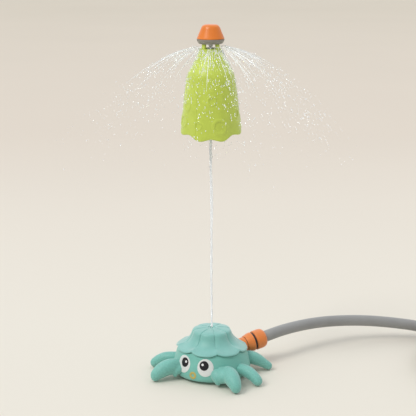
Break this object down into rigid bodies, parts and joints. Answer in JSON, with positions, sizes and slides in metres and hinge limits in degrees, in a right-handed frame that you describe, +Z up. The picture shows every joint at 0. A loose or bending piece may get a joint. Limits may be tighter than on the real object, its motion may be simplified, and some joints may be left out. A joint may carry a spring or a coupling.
{
  "type": "garden water sprinkler",
  "caption": "Children's sprinkler: crab-shaped base with a water jet, a bell-shaped hat that floats on the jet, and a hose with quick connectors.",
  "frame": {"origin": "on the floor under the crab, on the axis of its water jet", "axes": "+Z up along the jet; the crab faces -Y; the hose leaves towards +X and +Y"},
  "size_m": [0.6609, 0.4454, 0.556],
  "materials": {
    "crab_body": "soft matte teal",
    "shell_cover": "soft matte teal",
    "limb": "soft matte teal, finely speckled",
    "eye_white": "smooth white",
    "eye_black": "black",
    "mouth": "ochre print",
    "steel": "zinc plated",
    "grey_plastic": "moulded grey",
    "dark_plastic": "moulded black",
    "rubber": "black rubber",
    "orange_plastic": "satin orange",
    "white_plastic": "moulded white",
    "hose": "matte grey vinyl",
    "hat": "soft matte lime green",
    "disc_plastic": "moulded grey",
    "cap_plastic": "satin orange"
  },
  "bodies": {
    "crab": {"body_shell": "crab_body", "shell_cover": "shell_cover", "base_plate": "crab_body", "riser": "grey_plastic", "nozzle_insert": "dark_plastic", "inlet_spigot": "grey_plastic", "spigot_o_ring": "rubber", "mouth_ring": "mouth", "claw_right": "limb", "middle_leg_right": "limb", "rear_leg_right": "limb", "claw_left": "limb", "middle_leg_left": "limb", "rear_leg_left": "limb", "eye_white_right": "eye_white", "pupil_right": "eye_black", "eye_white_left": "eye_white", "pupil_left": "eye_black", "base_screw_1": "steel", "base_screw_2": "steel", "base_screw_3": "steel", "base_screw_4": "steel"},
    "deflector": {"deflector": "disc_plastic"},
    "hat": {"hat_half_right": "hat", "hat_half_left": "hat", "hat_cap": "cap_plastic", "cap_screw": "steel"},
    "hose": {"connector_core": "dark_plastic", "connector_collet": "white_plastic", "filter_washer": "rubber", "hose_run": "hose", "hose_coil": "hose", "hose_tail": "hose", "far_core": "dark_plastic", "far_collet": "white_plastic"},
    "connector_sleeve": {"connector_sleeve": "orange_plastic"},
    "connector_nut": {"connector_nut": "orange_plastic"},
    "far_sleeve": {"far_sleeve": "orange_plastic"},
    "far_nut": {"far_nut": "orange_plastic"}
  },
  "joints": [
    {"name": "hat_lift", "type": "slide", "parent": "crab", "child": "deflector", "axis": [0, 0, 1], "range_m": [-0.329, 0], "stiffness_N_per_m": 3, "springref_m": 0.6},
    {"name": "hat_spin", "type": "hinge", "parent": "deflector", "child": "hat", "pos_m": [0, 0, 0.53], "axis": [0, 0, 1], "continuous": true},
    {"name": "connector_pull", "type": "slide", "parent": "crab", "child": "hose", "axis": [0.5909, 0.7878, 0.1736], "range_m": [0, 0.024]},
    {"name": "connector_release", "type": "slide", "parent": "hose", "child": "connector_sleeve", "axis": [0.5909, 0.7878, 0.1736], "range_m": [0, 0.003], "stiffness_N_per_m": 400, "springref_m": -0.002},
    {"name": "connector_nut_turn", "type": "hinge", "parent": "hose", "child": "connector_nut", "pos_m": [0.052, 0.06933, 0.04038], "axis": [0.5909, 0.7878, 0.1736], "range_deg": [0, 360]},
    {"name": "far_release", "type": "slide", "parent": "hose", "child": "far_sleeve", "axis": [0, -1, 0], "range_m": [0, 0.003], "stiffness_N_per_m": 400, "springref_m": -0.002},
    {"name": "far_nut_turn", "type": "hinge", "parent": "hose", "child": "far_nut", "pos_m": [0.3207, 0.2422, 0.0531], "axis": [0, -1, 0], "range_deg": [0, 360]}
  ]
}
